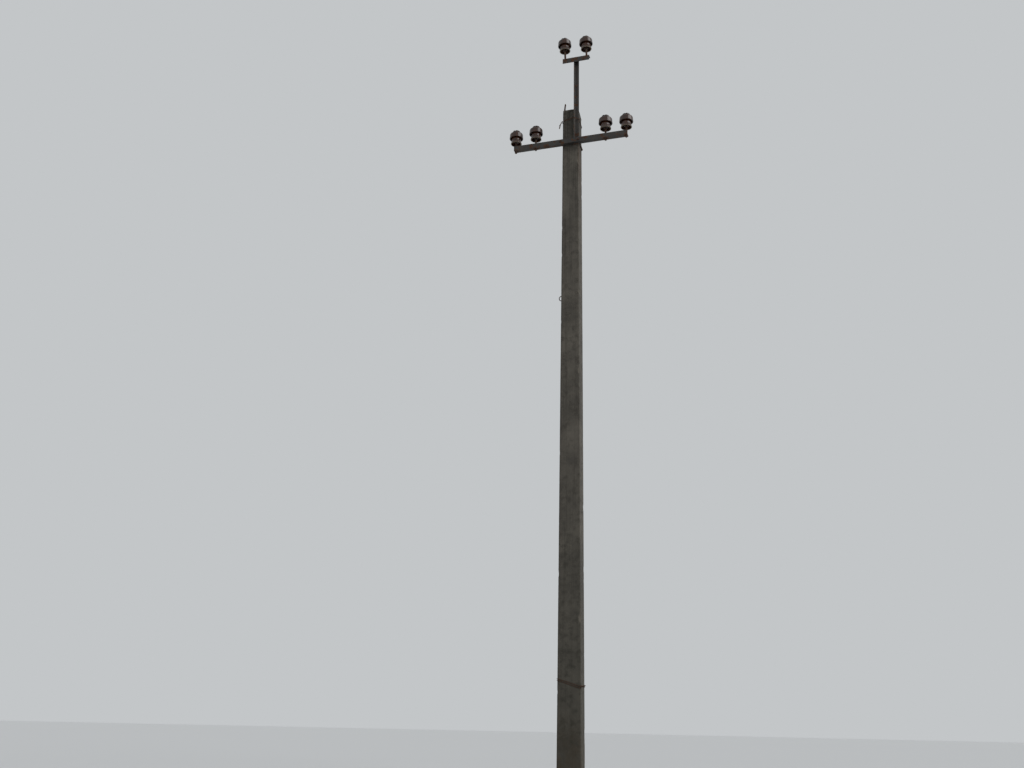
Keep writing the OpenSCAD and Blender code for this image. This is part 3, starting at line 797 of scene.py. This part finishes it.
def from_point(start, *steps):
    """The points that lie so many millimetres from a start, along X, Y and Z."""
    return [Vector(step) * MM + start for step in steps]


def upper_binding(material):
    """The wire wound twice round the post and the riser, with both of its ends bent away."""
    top, pitch = 7.943, 0.0078
    riser_front = RISER_Y - OFF_RISER
    riser_side = RISER_X + RISER_LEG + OFF_RISER
    path = []
    for z in (top, top - pitch):
        path += wire_corner(-1, -1, z)
        path += [Vector((RISER_X, riser_front, z)), Vector((RISER_X + WALL, riser_front, z)),
                 Vector((riser_side, NEAR_Y - WALL - OFF_RISER / 2, z)),
                 Vector((riser_side, NEAR_Y, z))]
        path += wire_corner(1, 1, z) + wire_corner(-1, 1, z)
    near_tail = from_point(
        path[0], (-19, -22, -44), (-27, -25, -78), (-35, -27, -106), (-36, -25, -117),
        (-31, -22, -115), (-25, -19, -84), (-17, -14, -38), (-10, -9, -8))
    last = wire_corner(-1, -1, top - 2 * pitch)[0]
    far_tail = from_point(last, (0, 0, 0), (-12, 2, -4), (-26, 6, -15), (-46, 8, -40))
    whole = rounded(near_tail + slack(path, 2) + far_tail)
    tube("upper_iron_wire", [[(p, 1.0) for p in whole]], WIRE, material,
         "upper_wire_binding")


def twisted_ends(root, along):
    """The two ends of a wire twisted round each other, out from a point: 41 points each, 1.3 mm
    apart, and nine of them to a turn."""
    across = along.cross(Vector((0, 0, 1))).normalized()
    upright = across.cross(along)
    start = root + along * 0.004 - across * 0.004
    strands = []
    for phase in (0.25, 0.75):
        strand = []
        for i in range(41):
            angle = TURN * (phase + i / 9)
            out = (across * math.cos(angle) + upright * math.sin(angle)) * WIRE * 0.5
            strand.append(start + along * 0.0013 * i + out)
        strands.append(strand)
    return strands


def lower_band(material):
    """The wire wound twice round the foot on a slant, slack in its second turn, with its two
    ends twisted together."""
    path = []
    # The heights of each turn on the post's +X side and on its -X side
    for right, left in ((0.998, 1.066), (0.988, 1.050)):
        path += wire_corner(1, -1, right) + wire_corner(1, 1, right)
        path += wire_corner(-1, 1, left) + wire_corner(-1, -1, left)
    path.append(wire_corner(1, -1, 0.966)[0])
    first, second = twisted_ends(wire_corner(1, -1, 0.982)[0],
                                 Vector((0.90, -0.32, 0.26)).normalized())
    whole = rounded(first[::-1] + slack(path, 5) + second)
    tube("lower_iron_wire", [[(p, 1.0) for p in whole]], WIRE, material,
         "lower_wire_band")


concrete = form_cast_concrete()
angle_steel = painted_rolled_steel()
forged = rusted_forgings()
iron_wire = rusted_iron_wire()

finishes = {
    "weathered_concrete": concrete,
    "rusted_angle_steel": angle_steel,
    "rusted_fittings": forged,
    "brown_porcelain": brown_glazed_porcelain(),
    "pin_cap": moulded_cap_plastic(),
    "rusted_wire": iron_wire,
}
for subpart in frame["record"]["subparts"]:
    node = frame["nodes"][subpart["node"]]
    node.data.materials.clear()
    node.data.materials.append(finishes[subpart["material_slot"]])

worn_post(concrete)
ribbed_bar_stub(forged)
for name in SEATS:
    forged_pin(name, forged)
bent_clamp(forged)
weld_beads(angle_steel)
upper_binding(iron_wire)
lower_band(iron_wire)


# Stage, light and camera

def lay_floor():
    """A pale round floor, wide enough to reach the horizon from every side."""
    material, tree = new_material("pale_floor")
    shader = add(tree, "BsdfPrincipled", sockets={"Base Color": paint(PALE_GREY), "Roughness": 0.9})
    add(tree, "OutputMaterial", shader)
    bm = bmesh.new()
    bmesh.ops.create_circle(bm, cap_ends=True, segments=96, radius=300.0)
    mesh = bpy.data.meshes.new("floor")
    bm.to_mesh(mesh)
    bm.free()
    mesh.materials.append(material)
    floor = bpy.data.objects.new("floor", mesh)
    bpy.context.scene.collection.objects.link(floor)


def light_stage():
    """Even light from all round behind a pale backdrop, and a soft lamp from the right."""
    world = bpy.data.worlds.new("soft_light")
    bpy.context.scene.world = world
    world.use_nodes = True
    tree = world.node_tree
    tree.nodes.clear()
    rays = add(tree, "LightPath").outputs
    seen = add(tree, "Math", rays["Is Camera Ray"], rays["Is Glossy Ray"], operation="MAXIMUM")
    seen = add(tree, "Math", seen, rays["Is Transmission Ray"], operation="MAXIMUM")
    glow = add(tree, "Background", paint("#ffffff"), 0.62)
    backdrop = add(tree, "Background", paint(PALE_GREY), 1.0)
    both = add(tree, "MixShader", seen, glow, backdrop)
    add(tree, "OutputWorld", both)

    light = bpy.data.lights.new("soft_lamp", "SUN")
    light.energy = 1.9
    light.angle = math.radians(60)
    lamp = bpy.data.objects.new("soft_lamp", light)
    lamp.rotation_euler = Vector((0.90, -0.20, 0.40)).to_track_quat("Z", "Y").to_euler()
    bpy.context.scene.collection.objects.link(lamp)


def set_camera():
    """A camera at the photograph's place: low, near, tilted up and leaning a little."""
    data = bpy.data.cameras.new("camera")
    data.sensor_width = 36.0
    # A focal length of 1035 pixels, in a picture 1024 wide
    data.lens = 36.0 * 1035 / 1024
    data.clip_end = 1000.0
    camera = bpy.data.objects.new("camera", data)
    camera.matrix_world = (
        Matrix.Translation((2.872, -11.241, 0.540))
        @ Matrix.Rotation(math.radians(17.830), 4, "Z")
        @ Matrix.Rotation(math.radians(90 + 18.452), 4, "X")
        @ Matrix.Rotation(math.radians(1.234), 4, "Z"))
    bpy.context.scene.collection.objects.link(camera)
    bpy.context.scene.camera = camera


lay_floor()
light_stage()
set_camera()
bpy.context.scene.view_settings.view_transform = "Standard"
